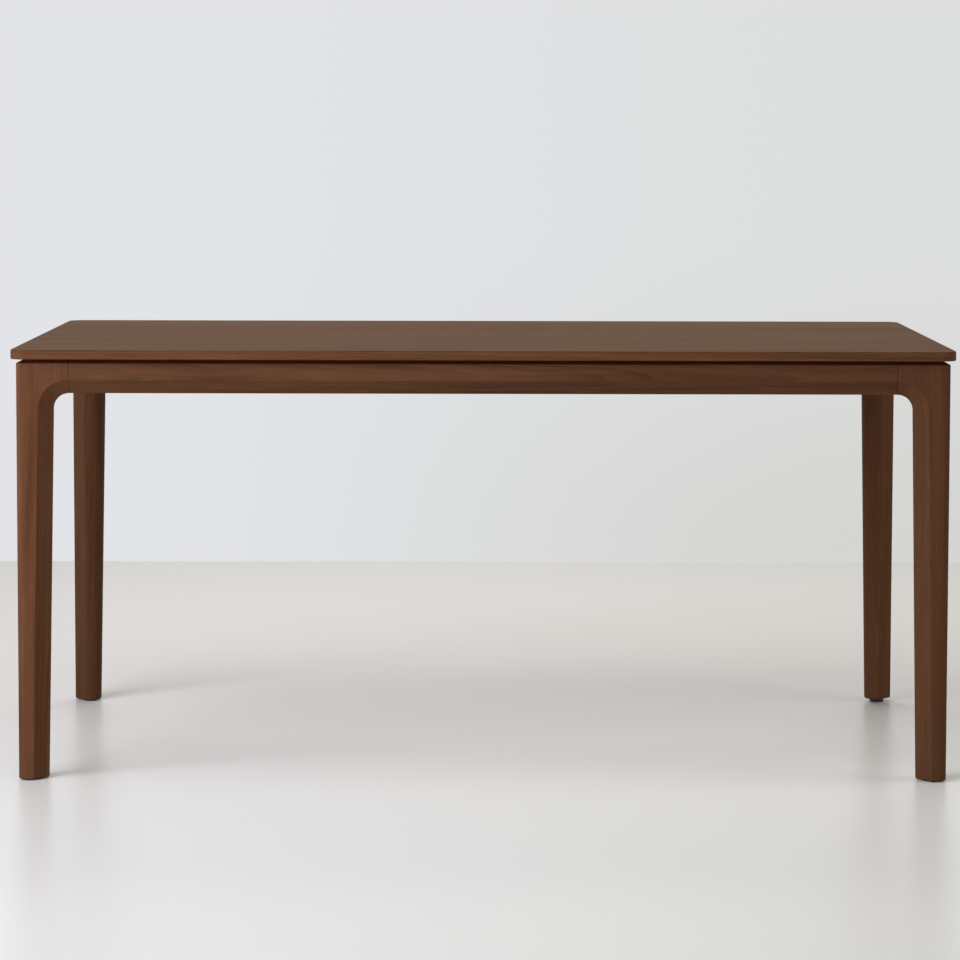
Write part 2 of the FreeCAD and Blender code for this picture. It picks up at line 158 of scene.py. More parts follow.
def select_where(piece, kind, test):
    """In edit mode, selects the vertices, edges or faces that lie where the test says."""
    bpy.ops.mesh.select_mode(type={"vertices": "VERT", "edges": "EDGE", "polygons": "FACE"}[kind])
    bpy.ops.mesh.select_all(action="DESELECT")
    edit_mode(False)
    points = piece.data.vertices
    for element in getattr(piece.data, kind):
        corners = [element] if kind == "vertices" else [points[index] for index in element.vertices]
        element.select = all(test(corner.co) for corner in corners)
    edit_mode(True)


bpy.ops.object.select_all(action="DESELECT")
floor_middle_y = floor_rear_edge - floor_reach
bpy.ops.mesh.primitive_plane_add(size=2 * floor_reach, location=(0, floor_middle_y, 0))
floor = bpy.context.object
floor.name = "floor"
bpy.ops.object.transform_apply(location=True)
edit_mode(True)
select_where(floor, "edges", lambda place: place.y > floor_rear_edge - level_tolerance)
floor_fall = (0, floor_fall_reach, -floor_fall_drop)
bpy.ops.mesh.extrude_edges_move(TRANSFORM_OT_translate={"value": floor_fall})
edit_mode(False)

floor_paint, tree, shader = new_material("floor_paint")
place = new_node(tree, "ShaderNodeNewGeometry").outputs["Position"]
cloud = noise(tree, place, floor_cloud_scale, floor_cloud_detail).outputs["Fac"]
paler = linear(*[value + floor_cloud_tone for value in floor_colour])
darker = linear(*[value - floor_cloud_tone for value in floor_colour])
tone = mixed(tree, cloud, darker, paler)
axes = new_node(tree, "ShaderNodeSeparateXYZ", {0: place}).outputs
# Painted light: in front of the table the floor's colour turns paler, more so on the right.
painted_light_in_front = remap(tree, axes["Y"], floor_painted_light_from, floor_painted_light_to)
painted_light_on_right = remap(tree, axes["X"], floor_painted_light_left, floor_painted_light_right, floor_painted_light_share_left)
share = maths(tree, "MULTIPLY", painted_light_in_front, painted_light_on_right)
tone = mixed(tree, share, tone, linear(*floor_painted_light_colour))
tree.links.new(tone, shader.inputs["Base Color"])
shader.inputs["Roughness"].default_value = floor_roughness
shader.inputs["Specular IOR Level"].default_value = floor_gloss
distance = new_node(tree, "ShaderNodeVectorMath", {0: place}, operation="LENGTH").outputs["Value"]
gone = remap(tree, distance, floor_fade_from, floor_fade_to)
clear = new_node(tree, "ShaderNodeBsdfTransparent").outputs[0]
seen_floor = new_node(tree, "ShaderNodeMixShader", {0: gone, 1: shader.outputs[0], 2: clear})
tree.links.new(seen_floor.outputs[0], tree.nodes["Material Output"].inputs["Surface"])
floor.data.materials.append(floor_paint)


# ---------------------------------------------------------------------------------------------
# The light. A wide window gives cool daylight from the left in front, in a cone that keeps it off
# the floor beneath. A soft box hangs overhead, a weak and slightly warmer one stands on the right,
# and one hangs behind. The pale room fills in.

lamp_aim = Vector((0.0, 0.0, 0.5))
lamps = {
    "window": {"place": (-2.6, -2.4, 1.6), "size": (2.4, 2.2), "power": 52.0, "tint": (237, 242, 255)},
    "overhead": {"place": (-1.0, -1.6, 3.6), "size": (3.4, 3.0), "power": 56.0, "tint": (255, 255, 248)},
    "side": {"place": (3.2, -0.7, 1.4), "size": (1.8, 2.0), "power": 23.0, "tint": (255, 250, 233)},
    "rear": {"place": (0.0, 2.6, 2.6), "size": (4.0, 2.0), "power": 58.0, "tint": (255, 255, 248)},
}
window_cone = 120
lamps_without_glint = ("window", "overhead", "rear")
room_fill = 0.1
room_fill_colour = (255, 254, 247)
wall_left = (227, 228, 232)
wall_right = (221, 222, 222)
wall_painted_shade_low_right = (213, 214, 211)
wall_turn = (-0.15, 0.15)
wall_painted_shade_down = (-0.03, -0.13)
wall_painted_shade_right = (-0.1, 0.13)

for name, lamp in lamps.items():
    light = bpy.data.lights.new(name, "AREA")
    light.shape = "RECTANGLE"
    light.size, light.size_y = lamp["size"]
    light.energy = lamp["power"]
    light.color = linear(*lamp["tint"])[:3]
    box = bpy.data.objects.new(name, light)
    bpy.context.scene.collection.objects.link(box)
    box.location = lamp["place"]
    box.rotation_mode = "QUATERNION"
    box.rotation_quaternion = (lamp_aim - box.location).to_track_quat("-Z", "Y")
    box.visible_camera = False
    box.visible_glossy = name not in lamps_without_glint
bpy.data.lights["window"].spread = math.radians(window_cone)

world = bpy.data.worlds.new("room")
bpy.context.scene.world = world
world.use_nodes = True
tree = world.node_tree
tree.nodes.clear()
rays = new_node(tree, "ShaderNodeLightPath").outputs
seen = maths(tree, "MAXIMUM", rays["Is Camera Ray"], rays["Is Glossy Ray"])
seen = maths(tree, "MAXIMUM", seen, rays["Is Transmission Ray"])
way = new_node(tree, "ShaderNodeTexCoord").outputs["Generated"]
axes = new_node(tree, "ShaderNodeSeparateXYZ", {0: way}).outputs
# Painted light and shade on the wall seen behind the table: paler on the left, darker towards the bottom,
# most of all low on the right.
paint = mixed(tree, remap(tree, axes["X"], *wall_turn), linear(*wall_left), linear(*wall_right))
low = remap(tree, axes["Z"], *wall_painted_shade_down)
painted_shade_low_right = maths(tree, "MULTIPLY", low, remap(tree, axes["X"], *wall_painted_shade_right))
paint = mixed(tree, painted_shade_low_right, paint, linear(*wall_painted_shade_low_right))
wall = new_node(tree, "ShaderNodeBackground", {"Color": paint, "Strength": 1.0})
fill = new_node(tree, "ShaderNodeBackground", {
    "Color": linear(*room_fill_colour), "Strength": room_fill,
})
either = new_node(tree, "ShaderNodeMixShader", {0: seen, 1: fill.outputs[0], 2: wall.outputs[0]})
new_node(tree, "ShaderNodeOutputWorld", {"Surface": either.outputs[0]})


# ---------------------------------------------------------------------------------------------
# The face and backing veneers. Thin leaves of walnut, sliced one after another from the same
# log, jointed side by side along the table's length, oiled, with their arris rounded over.

leaf_width = 0.172
leaf_taper = 0.035
leaf_figure = 0.82
leaf_tone_low = 0.93
leaf_tone_high = 1.07
leaf_ring_width = 0.0062
leaf_wander = 0.012
veneer_light = (106, 73, 46)
veneer_dark = (69, 45, 24)
walnut_light = (110, 72, 49)
walnut_dark = (72, 45, 28)
walnut_pore = (44, 25, 15)
walnut_roughness = 0.62
walnut_gloss = 0.05
walnut_relief = 0.00012
eased_edge_reach = 0.0018
edge_polish_and_painted_highlight = 0.22
joint_darkness = 0.5


def new_group(name, inputs, outputs):
    """An empty node group: its tree, its inputs' sockets and the node that takes its outputs."""
    group = bpy.data.node_groups.new(name, "ShaderNodeTree")
    kinds = {"vector": "NodeSocketVector", "value": "NodeSocketFloat", "colour": "NodeSocketColor"}
    for socket_name, kind in inputs.items():
        group.interface.new_socket(socket_name, in_out="INPUT", socket_type=kinds[kind])
    for socket_name, kind in outputs.items():
        group.interface.new_socket(socket_name, in_out="OUTPUT", socket_type=kinds[kind])
    given = group.nodes.new("NodeGroupInput").outputs
    result = group.nodes.new("NodeGroupOutput")
    return group, given, result


def vector_maths(tree, operation, *values, scale=None):
    """A Vector Math node's result: a vector, or a number where the operation gives one."""
    inputs = dict(enumerate(values))
    if scale is not None:
        inputs["Scale"] = scale
    made = new_node(tree, "ShaderNodeVectorMath", inputs, operation=operation)
    return made.outputs["Value" if operation in ("LENGTH", "DOT_PRODUCT") else "Vector"]


def stretched(tree, vector, along, across):
    """A vector whose fine detail is drawn out along the grain, which runs along X."""
    return vector_maths(tree, "MULTIPLY", vector, (along, across, across))


def swayed(tree, vector, along, across, amount):
    """A vector that wanders to all sides by an amount."""
    sway = noise(tree, stretched(tree, vector, along, across), scale=1.0).outputs["Color"]
    sway = vector_maths(tree, "SUBTRACT", sway, (0.5, 0.5, 0.5))
    sway = vector_maths(tree, "SCALE", sway, scale=amount)
    return vector_maths(tree, "ADD", vector, sway)


def blotches(tree, vector, along, across, low, high, detail=2.0, roughness=0.5, faintest=0.0):
    """Noise drawn out along the grain, with the range from low to high spread from faintest to 1."""
    spread = noise(tree, stretched(tree, vector, along, across), 1.0, detail, roughness).outputs["Fac"]
    return remap(tree, spread, low, high, faintest)


# Sawn timber, in the log's own frame: the pith runs along X through the origin. Annual rings
# wander and taper, a band of rings is darker than the next, and pores lie along the fibres. The
# weights say how far each of them darkens the wood.
uneven_years = 3.0
ring_weight = 0.42
band_weight = 0.36
streak_weight = 0.46
fibre_weight = 0.32
fleck_weight = -0.34
mean_weight = 0.66
pore_weight = 0.62
shade_polish = -0.06
pore_dullness = 0.14
pore_height = -0.8
fibre_height = 0.25

timber, given, result = new_group("sawn_timber", {
    "Vector": "vector", "Ring Width": "value", "Taper": "value", "Wander": "value", "Figure": "value",
    "Light": "colour", "Dark": "colour", "Pore": "colour", "Dullness": "value",
}, {"Color": "colour", "Roughness": "value", "Height": "value"})
moved = swayed(timber, given["Vector"], along=1.1, across=5.0, amount=given["Wander"])
moved = swayed(timber, moved, along=7.0, across=22.0, amount=0.007)
axes = new_node(timber, "ShaderNodeSeparateXYZ", {0: moved}).outputs
across = new_node(timber, "ShaderNodeCombineXYZ", {"Y": axes["Y"], "Z": axes["Z"]}).outputs[0]
radius = vector_maths(timber, "LENGTH", across)
radius = maths(timber, "MULTIPLY_ADD", axes["X"], given["Taper"], radius)
age = maths(timber, "DIVIDE", radius, given["Ring Width"])
uneven = noise(timber, age, scale=0.31, dimensions="1D").outputs["Fac"]
age = maths(timber, "MULTIPLY_ADD", uneven, uneven_years, age)
season = maths(timber, "FRACT", age)
slow_rise = remap(timber, season, low=0.15, high=0.9)
quick_end = remap(timber, season, low=1.0, high=0.9)
late_wood = maths(timber, "MULTIPLY", slow_rise, quick_end)
faintness = blotches(timber, moved, 3.0, 60.0, low=0.35, high=0.65, detail=1.0, faintest=0.15)
late_wood = maths(timber, "MULTIPLY", late_wood, faintness)
decade = noise(timber, age, scale=0.16, dimensions="1D").outputs["Fac"]
band = remap(timber, decade, low=0.3, high=0.7)
streak = blotches(timber, moved, 1.3, 32.0, low=0.32, high=0.68, detail=4.0, roughness=0.6)
fleck = blotches(timber, moved, 13.0, 240.0, low=0.54, high=0.74)
drawn_out = stretched(timber, moved, along=9.0, across=900.0)
fibre = noise(timber, drawn_out, scale=1.0, detail=3.0, roughness=0.6).outputs["Fac"]
pores = new_node(timber, "ShaderNodeTexVoronoi", {
    "Vector": stretched(timber, moved, along=95.0, across=1250.0), "Scale": 1.0, "Randomness": 1.0,
}).outputs["Distance"]
pores = remap(timber, pores, low=0.32, high=0.12)
pores = maths(timber, "MULTIPLY", pores, remap(timber, season, low=0.75, high=0.1, new_low=0.35))
shade = maths(timber, "MULTIPLY", late_wood, ring_weight)
for mark, weight in (
        (band, band_weight), (streak, streak_weight), (fibre, fibre_weight), (fleck, fleck_weight)):
    shade = maths(timber, "MULTIPLY_ADD", mark, weight, shade)
shade = maths(timber, "SUBTRACT", shade, mean_weight)
shade = maths(timber, "MULTIPLY_ADD", shade, given["Figure"], 0.5)
colour = mixed(timber, shade, given["Light"], given["Dark"])
colour = mixed(timber, maths(timber, "MULTIPLY", pores, pore_weight), colour, given["Pore"])
dullness = maths(timber, "MULTIPLY_ADD", shade, shade_polish, given["Dullness"])
dullness = maths(timber, "MULTIPLY_ADD", pores, pore_dullness, dullness)
raised = maths(timber, "MULTIPLY", fibre, fibre_height)
relief = maths(timber, "MULTIPLY_ADD", pores, pore_height, raised)
timber.links.new(colour, result.inputs["Color"])
timber.links.new(dullness, result.inputs["Roughness"])
timber.links.new(relief, result.inputs["Height"])

# Leaves side by side: each leaf has its own place in the log and its own tone, and a hair-thin
# joint on both sides.
leaf_slide_scatter = 0.5
leaf_side_scatter = 0.07
leaf_depth = 0.045
leaf_depth_scatter = 0.03

leaves, given, result = new_group("veneer_leaves", {
    "Vector": "vector", "Leaf Width": "value",
}, {"Vector": "vector", "Tone": "value", "Joint": "value"})
axes = new_node(leaves, "ShaderNodeSeparateXYZ", {0: given["Vector"]}).outputs
count = maths(leaves, "DIVIDE", axes["Y"], given["Leaf Width"])
number = maths(leaves, "FLOOR", count)
chance = new_node(leaves, "ShaderNodeTexWhiteNoise", {"W": number}, noise_dimensions="1D").outputs
chances = new_node(leaves, "ShaderNodeSeparateColor", {0: chance["Color"]}).outputs
across = maths(leaves, "SUBTRACT", maths(leaves, "FRACT", count), 0.5)
side = maths(leaves, "MULTIPLY", across, given["Leaf Width"])
scatter = maths(leaves, "SUBTRACT", chances[0], 0.5)
side = maths(leaves, "MULTIPLY_ADD", scatter, leaf_side_scatter, side)
along = maths(leaves, "MULTIPLY_ADD", chances[1], leaf_slide_scatter, axes["X"])
depth = maths(leaves, "MULTIPLY_ADD", chances[2], leaf_depth_scatter, leaf_depth)
log_place = new_node(leaves, "ShaderNodeCombineXYZ", {"X": along, "Y": side, "Z": depth}).outputs[0]
joint = remap(leaves, maths(leaves, "ABSOLUTE", across), low=0.4985, high=0.4998)
leaves.links.new(log_place, result.inputs["Vector"])
leaves.links.new(chance["Value"], result.inputs["Tone"])
leaves.links.new(joint, result.inputs["Joint"])

# Arrises eased by hand and polished by use, a little lighter than the faces beside them: partly
# wear, and partly a painted highlight along every edge.
edge_wear_and_highlight, given, result = new_group("edge_wear_and_painted_highlight", {
    "Color": "colour", "Reach": "value", "Polish": "value",
}, {"Color": "colour", "Mask": "value"})
rounded = new_node(edge_wear_and_highlight, "ShaderNodeBevel", {"Radius": given["Reach"]}, samples=4).outputs[0]
facing = new_node(edge_wear_and_highlight, "ShaderNodeNewGeometry").outputs["Normal"]
agreement = vector_maths(edge_wear_and_highlight, "DOT_PRODUCT", rounded, facing)
mask = remap(edge_wear_and_highlight, agreement, low=0.995, high=0.9)
place = new_node(edge_wear_and_highlight, "ShaderNodeTexCoord").outputs["Object"]
patchy = noise(edge_wear_and_highlight, place, scale=35.0, detail=3.0).outputs["Fac"]
mask = maths(edge_wear_and_highlight, "MULTIPLY", mask, remap(edge_wear_and_highlight, patchy, low=0.3, high=0.7, new_low=0.35))
lift = maths(edge_wear_and_highlight, "MULTIPLY_ADD", mask, given["Polish"], 1.0)
lighter = new_node(edge_wear_and_highlight, "ShaderNodeHueSaturation", {"Color": given["Color"], "Value": lift}).outputs[0]
edge_wear_and_highlight.links.new(lighter, result.inputs["Color"])
edge_wear_and_highlight.links.new(mask, result.inputs["Mask"])


def place_group(tree, group, **values):
    """A group's node in a material, fed with values or with other nodes' outputs."""
    inputs = {name.replace("_", " "): value for name, value in values.items()}
    return new_node(tree, "ShaderNodeGroup", inputs, node_tree=group).outputs


def wood_surface(tree, shader, vector, values, relief, sheet=None):
    """Feeds the sawn timber into a material's shader. A sheet adds its leaves' tones and joints."""
    wood = place_group(tree, timber, Vector=vector, **values)
    colour = wood["Color"]
    if sheet:
        tone = remap(tree, sheet["Tone"], 0.0, 1.0, leaf_tone_low, leaf_tone_high)
        colour = new_node(tree, "ShaderNodeHueSaturation", {"Color": colour, "Value": tone}).outputs[0]
        joint = maths(tree, "MULTIPLY", sheet["Joint"], joint_darkness)
        colour = mixed(tree, joint, colour, linear(*walnut_pore))
    # The arrises turn lighter: partly wear, partly a painted highlight.
    edge = place_group(tree, edge_wear_and_highlight, Color=colour, Reach=eased_edge_reach, Polish=edge_polish_and_painted_highlight)
    bump = new_node(tree, "ShaderNodeBump", {
        "Height": wood["Height"], "Strength": 1.0, "Distance": relief,
    })
    tree.links.new(edge["Color"], shader.inputs["Base Color"])
    tree.links.new(wood["Roughness"], shader.inputs["Roughness"])
    tree.links.new(bump.outputs[0], shader.inputs["Normal"])
    shader.inputs["Specular IOR Level"].default_value = walnut_gloss


def wood_values(light, dark, pore, dullness, ring_width, taper=0.01, wander=0.01, figure=0.7):
    """What the sawn timber takes, with its three tones as screen colours."""
    return {
        "Light": linear(*light), "Dark": linear(*dark), "Pore": linear(*pore),
        "Ring_Width": ring_width, "Taper": taper, "Wander": wander, "Figure": figure,
        "Dullness": dullness,
    }


def place_in_log(tree, grain, shift):
    """The piece's own place, turned so that its grain runs along X, and shifted within the log."""
    place = new_node(tree, "ShaderNodeTexCoord").outputs["Object"]
    turned = new_node(tree, "ShaderNodeMapping", {
        "Vector": place, "Rotation": grain, "Location": shift,
    })
    return turned.outputs[0]


def dress(node_name, material):
    """Gives a CAD node its material."""
    for material_slot in nodes[node_name].material_slots:
        material_slot.material = material


def veneer(name, slide):
    """A sheet of walnut leaves, slid along the log so that no two sheets are alike."""
    material, tree, shader = new_material(name)
    place = place_in_log(tree, (0, 0, 0), (slide, leaf_width / 2, 0))
    sheet = place_group(tree, leaves, Vector=place, Leaf_Width=leaf_width)
    values = wood_values(
        veneer_light, veneer_dark, walnut_pore, walnut_roughness,
        leaf_ring_width, leaf_taper, leaf_wander, leaf_figure)
    wood_surface(tree, shader, sheet["Vector"], values, walnut_relief, sheet)
    return material


dress("tabletop_face_veneer", veneer("face_veneer", slide=0.3))
dress("tabletop_backing_veneer", veneer("backing_veneer", slide=1.9))


# ---------------------------------------------------------------------------------------------
# The lippings. Strips of solid walnut round the core, mitred at the corners, with the grain
# along each strip.

along_x = (0.0, 0.0, 0.0)
along_y = (0.0, 0.0, math.radians(-90))
along_z = (0.0, math.radians(90), 0.0)
lipping_tone = 1.02
lipping_boards = {
    "lipping_front": (along_x, (0.4, 0.36, -0.65)),
    "lipping_rear": (along_x, (2.1, -0.45, -0.66)),
    "lipping_left": (along_y, (3.0, -0.74, -0.66)),
    "lipping_right": (along_y, (4.2, 0.86, -0.66)),
}
board_ring_width = 0.0055
board_taper = 0.012
board_wander = 0.012
board_figure = 0.8


def walnut_board(
        name, grain, pith, tone, ring_width=board_ring_width, figure=board_figure, taper=board_taper):
    """Solid walnut. The grain's turn brings the board's length onto X, pith is the board's place
    in the log, seen from the pith, and tone makes it lighter or darker than the next board; on the
    legs, tone also holds painted light and shade."""
    material, tree, shader = new_material(name)
    light = [value * tone for value in walnut_light]
    dark = [value * tone for value in walnut_dark]
    values = wood_values(
        light, dark, walnut_pore, walnut_roughness, ring_width, taper, board_wander, figure)
    wood_surface(tree, shader, place_in_log(tree, grain, pith), values, walnut_relief)
    return material


for name, (grain, pith) in lipping_boards.items():
    dress(name, walnut_board(name, grain, pith, lipping_tone))


# ---------------------------------------------------------------------------------------------
# The core. A plain light board that makes up most of the top's thickness. The veneers are glued
# to its two faces and the lippings to its edges, so nobody sees it once the top is made.

core_light = (206, 184, 150)
core_dark = (186, 160, 124)
core_pore = (150, 124, 92)
sawn_dullness = 0.7
sawn_relief = 0.0001
fine_ring_width = 0.004

core_board, tree, shader = new_material("core_board")
place = new_node(tree, "ShaderNodeTexCoord").outputs["Object"]
values = wood_values(core_light, core_dark, core_pore, sawn_dullness, fine_ring_width)
wood_surface(tree, shader, place, values, sawn_relief)
dress("tabletop_core", core_board)


# ---------------------------------------------------------------------------------------------
# The legs. Solid walnut, shaped from one block each with the grain upright, sanded and oiled.
# Each head takes the dowels of two rails and is drawn up by a bolt from inside.

leg_pith = {
    "front_left": (0.1, 0.355, -0.74), "front_right": (1.3, 0.47, 0.73),
    "rear_left": (2.2, -0.44, -0.70), "rear_right": (3.6, -0.33, 0.83),
}
# Each leg's tone is partly its own and partly painted light and shade: the front left leg is painted
# lighter, the front right and rear left ones darker.
leg_tone_and_painted_light = {"front_left": 1.08, "front_right": 0.94, "rear_left": 0.93, "rear_right": 0.985}
leg_ring_width = 0.0072
leg_figure = 0.6

for corner, pith in leg_pith.items():
    name = "leg_" + corner
    dress(name, walnut_board(name, along_z, pith, leg_tone_and_painted_light[corner], leg_ring_width, leg_figure))


# ---------------------------------------------------------------------------------------------
# The rails. Solid walnut with the grain along each rail, faceted along the lower half, and
# dowelled and glued between the leg heads.

rail_tone = 0.985
rail_taper = 0.03
rail_boards = {
    "rail_front": (along_x, (12.7, 0.46, -0.690)),
    "rail_rear": (along_x, (5.0, -0.46, -0.682)),
    "rail_left": (along_y, (6.0, -0.745, -0.69)),
    "rail_right": (along_y, (7.3, 0.75, -0.68)),
}

for name, (grain, pith) in rail_boards.items():
    dress(name, walnut_board(name, grain, pith, rail_tone, taper=rail_taper))


# ---------------------------------------------------------------------------------------------
# The spacers. Thin wooden strips that lie on the frame, set back from its face, and carry the
# top. They are stained dark brown, and the dark is also painted shade: it makes the gap under the
# top read as a shadow.

# The stain's tones are partly stain and partly painted shade for the gap under the top.
stain_and_shade_light = (118, 46, 20)
stain_and_shade_dark = (90, 33, 14)
stain_and_shade_pore = (40, 14, 7)
stain_figure = 0.8

stain_and_shade, tree, shader = new_material("stained_strip_and_painted_shade")
place = new_node(tree, "ShaderNodeTexCoord").outputs["Object"]
values = wood_values(
    stain_and_shade_light, stain_and_shade_dark, stain_and_shade_pore, sawn_dullness, fine_ring_width, figure=stain_figure)
wood_surface(tree, shader, place, values, sawn_relief)
for side in ("front", "rear", "left", "right"):
    dress("spacer_" + side, stain_and_shade)


# ---------------------------------------------------------------------------------------------
# The bearers, corner blocks and dowels. Planed beech, left without a finish. The bearers cross
# the frame from rail to rail on dowels, and the blocks are fitted across its corners.

beech_light = (205, 168, 128)
beech_dark = (178, 136, 96)
beech_pore = (140, 98, 64)
beech_dullness = 0.62
beech_ring_width = 0.0035
beech_wander = 0.008
beech_figure = 0.6
beech_relief = 0.00008
beech_boards = {
    "bearer_left": (along_y, (0.0, -0.3, -0.63)),
    "bearer_right": (along_y, (1.0, 0.2, -0.63)),
    "bearer_dowels": (along_y, (2.0, 0.1, -0.65)),
    "rail_dowels": (along_x, (3.0, 0.1, -0.65)),
}
for corner in leg_pith:
    across_corner = math.radians(45 if corner in ("front_left", "rear_right") else -45)
    beech_boards["corner_block_" + corner] = ((0.0, 0.0, across_corner), (0.5, 0.04, -0.64))

for name, (grain, pith) in beech_boards.items():
    material, tree, shader = new_material(name)
    values = wood_values(
        beech_light, beech_dark, beech_pore, beech_dullness, beech_ring_width,
        wander=beech_wander, figure=beech_figure)
    wood_surface(tree, shader, place_in_log(tree, grain, pith), values, beech_relief)
    dress(name, material)


# ---------------------------------------------------------------------------------------------
# The hanger bolts. Zinc-plated steel rods with a rolled thread, one in each leg, which draw the
# leg against the rails through the corner block.

bolt_diameter = 0.008
thread_pitch = 0.00125
bolt_height = 0.690
bolt_start_on_diagonal = 0.0289
bolt_tail_past_nut = 0.004
block_face_on_diagonal = 0.1152
washer_thickness = 0.002
nut_height = 0.0065
bolt_end_on_diagonal = block_face_on_diagonal + washer_thickness + nut_height + bolt_tail_past_nut
frame_half_length = 0.790
frame_half_width = 0.415
diagonal_step = math.sqrt(0.5)
corner_signs = {"front_left": (-1, -1), "front_right": (1, -1), "rear_left": (-1, 1), "rear_right": (1, 1)}
zinc_colour = (196, 199, 201)
zinc_roughness = 0.34
polished_edge_reach = 0.0004
polished_edge_shine = 0.12
metal_cloud_scale = 260.0
metal_cloud_detail = 4.0
metal_cloud_tone = 0.88
metal_shinier = -0.07
metal_duller = 0.1
thread_steps = 20
thread_smooth_angle = 25
plain_smooth_angle = 30
doubled = 0.000001


def tidy_mesh():
    """In edit mode, merges doubled points and turns every face outwards."""
    bpy.ops.mesh.select_all(action="SELECT")
    bpy.ops.mesh.remove_doubles(threshold=doubled)
    bpy.ops.mesh.normals_make_consistent(inside=False)


def apply_modifier(piece, kind, **settings):
    """Adds a modifier, sets it and applies it."""
    modifier = piece.modifiers.new(kind.lower(), kind)
    for name, value in settings.items():
        setattr(modifier, name, value)
    bpy.ops.object.modifier_apply(modifier=modifier.name)


def smooth(piece, angle=plain_smooth_angle):
    """Shades a piece smooth, apart from its edges that are sharper than the angle."""
    bpy.ops.object.select_all(action="DESELECT")
    piece.select_set(True)
    bpy.context.view_layer.objects.active = piece
    bpy.ops.object.shade_smooth_by_angle(angle=math.radians(angle))


def threaded_rod(diameter, length):
    """A rolled thread that runs up from the origin and is cut square at both ends."""
    tooth = thread_pitch / 2
    upright = (math.radians(90), 0, 0)
    bpy.ops.object.select_all(action="DESELECT")
    bpy.ops.mesh.primitive_circle_add(
        vertices=4, radius=tooth, location=(diameter / 2 - tooth, 0, tooth), rotation=upright)
    bpy.ops.object.transform_apply(location=True, rotation=True)
    rod = bpy.context.object
    edit_mode(True)
    select_where(rod, "vertices", lambda place: place.x < diameter / 2 - 1.5 * tooth)
    bpy.ops.mesh.delete(type="VERT")
    edit_mode(False)
    turns = math.ceil(length / thread_pitch) + 2
    apply_modifier(
        rod, "SCREW", axis="Z", screw_offset=thread_pitch, iterations=turns,
        steps=thread_steps, render_steps=thread_steps)
    edit_mode(True)
    tidy_mesh()
    low = (0, 0, thread_pitch)
    high = (0, 0, thread_pitch + length)
    bpy.ops.mesh.select_all(action="SELECT")
    bpy.ops.mesh.bisect(plane_co=low, plane_no=(0, 0, 1), use_fill=True, clear_inner=True)
    bpy.ops.mesh.select_all(action="SELECT")
    bpy.ops.mesh.bisect(plane_co=high, plane_no=(0, 0, 1), use_fill=True, clear_outer=True)
    bpy.ops.mesh.select_all(action="SELECT")
    bpy.ops.transform.translate(value=(0, 0, -thread_pitch))
    edit_mode(False)
    smooth(rod, thread_smooth_angle)
    return rod


def placed_copies(master, places):
    """Copies a finished piece, each copy with its own mesh, to every place: a point, and the way
    that its Z axis goes. The first one is removed."""
    copies = []
    bpy.ops.object.select_all(action="DESELECT")
    for point, way in places:
        copy = master.copy()
        copy.data = master.data.copy()
        bpy.context.scene.collection.objects.link(copy)
        turn = Vector(way).to_track_quat("Z", "Y").to_matrix().to_4x4()
        copy.matrix_world = Matrix.Translation(Vector(point)) @ turn
        copy.select_set(True)
        copies.append(copy)
    bpy.data.objects.remove(master)
    bpy.context.view_layer.objects.active = copies[0]
    bpy.ops.object.transform_apply(location=True, rotation=True, scale=True)
    return copies


def joined(copies):
    """The selected copies as one object."""
    bpy.ops.object.join()
    return copies[0]


def hand_over(piece, name, material, body, node_name):
    """Names a piece, gives it its finish, and puts it on its body in place of a CAD node."""
    piece.name = name
    piece.data.materials.clear()
    piece.data.materials.append(material)
    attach(piece, body)
    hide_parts(node_name)


def on_diagonals(distance):
    """The point at a distance from each outer corner of the frame, and the way inwards."""
    places = []
    for sign_x, sign_y in corner_signs.values():
        x = sign_x * (frame_half_length - distance * diagonal_step)
        y = sign_y * (frame_half_width - distance * diagonal_step)
        places.append(((x, y, bolt_height), (-sign_x, -sign_y, 0)))
    return places


def bright_metal(name, colour, roughness):
    """A soft, slightly cloudy metal, brighter where its edges are rubbed."""
    material, tree, shader = new_material(name)
    place = new_node(tree, "ShaderNodeTexCoord").outputs["Object"]
    cloud = noise(tree, place, metal_cloud_scale, metal_cloud_detail).outputs["Fac"]
    darker = linear(*[value * metal_cloud_tone for value in colour])
    worn = mixed(tree, cloud, darker, linear(*colour))
    edge = place_group(
        tree, edge_wear_and_highlight, Color=worn, Reach=polished_edge_reach, Polish=polished_edge_shine)
    tree.links.new(edge["Color"], shader.inputs["Base Color"])
    dullness = remap(
        tree, cloud, low=0.3, high=0.7,
        new_low=roughness + metal_shinier, new_high=roughness + metal_duller)
    tree.links.new(dullness, shader.inputs["Roughness"])
    shader.inputs["Metallic"].default_value = 1.0
    return material


zinc = bright_metal("zinc_plate", zinc_colour, zinc_roughness)
bolt = threaded_rod(bolt_diameter, bolt_end_on_diagonal - bolt_start_on_diagonal)
bolts = joined(placed_copies(bolt, on_diagonals(bolt_start_on_diagonal)))
hand_over(bolts, "threaded_hanger_bolts", zinc, "frame", "hanger_bolts")


# ---------------------------------------------------------------------------------------------
# The washers. Wide rings pressed from steel and zinc-plated, with their rims just broken. They
# spread the nuts' pull over the faces of the corner blocks.

washer_radius = 0.012
washer_hole_radius = 0.0042
washer_rim = 0.00035
washer_sides = 48
washer_middle = (0, 0, washer_thickness / 2)

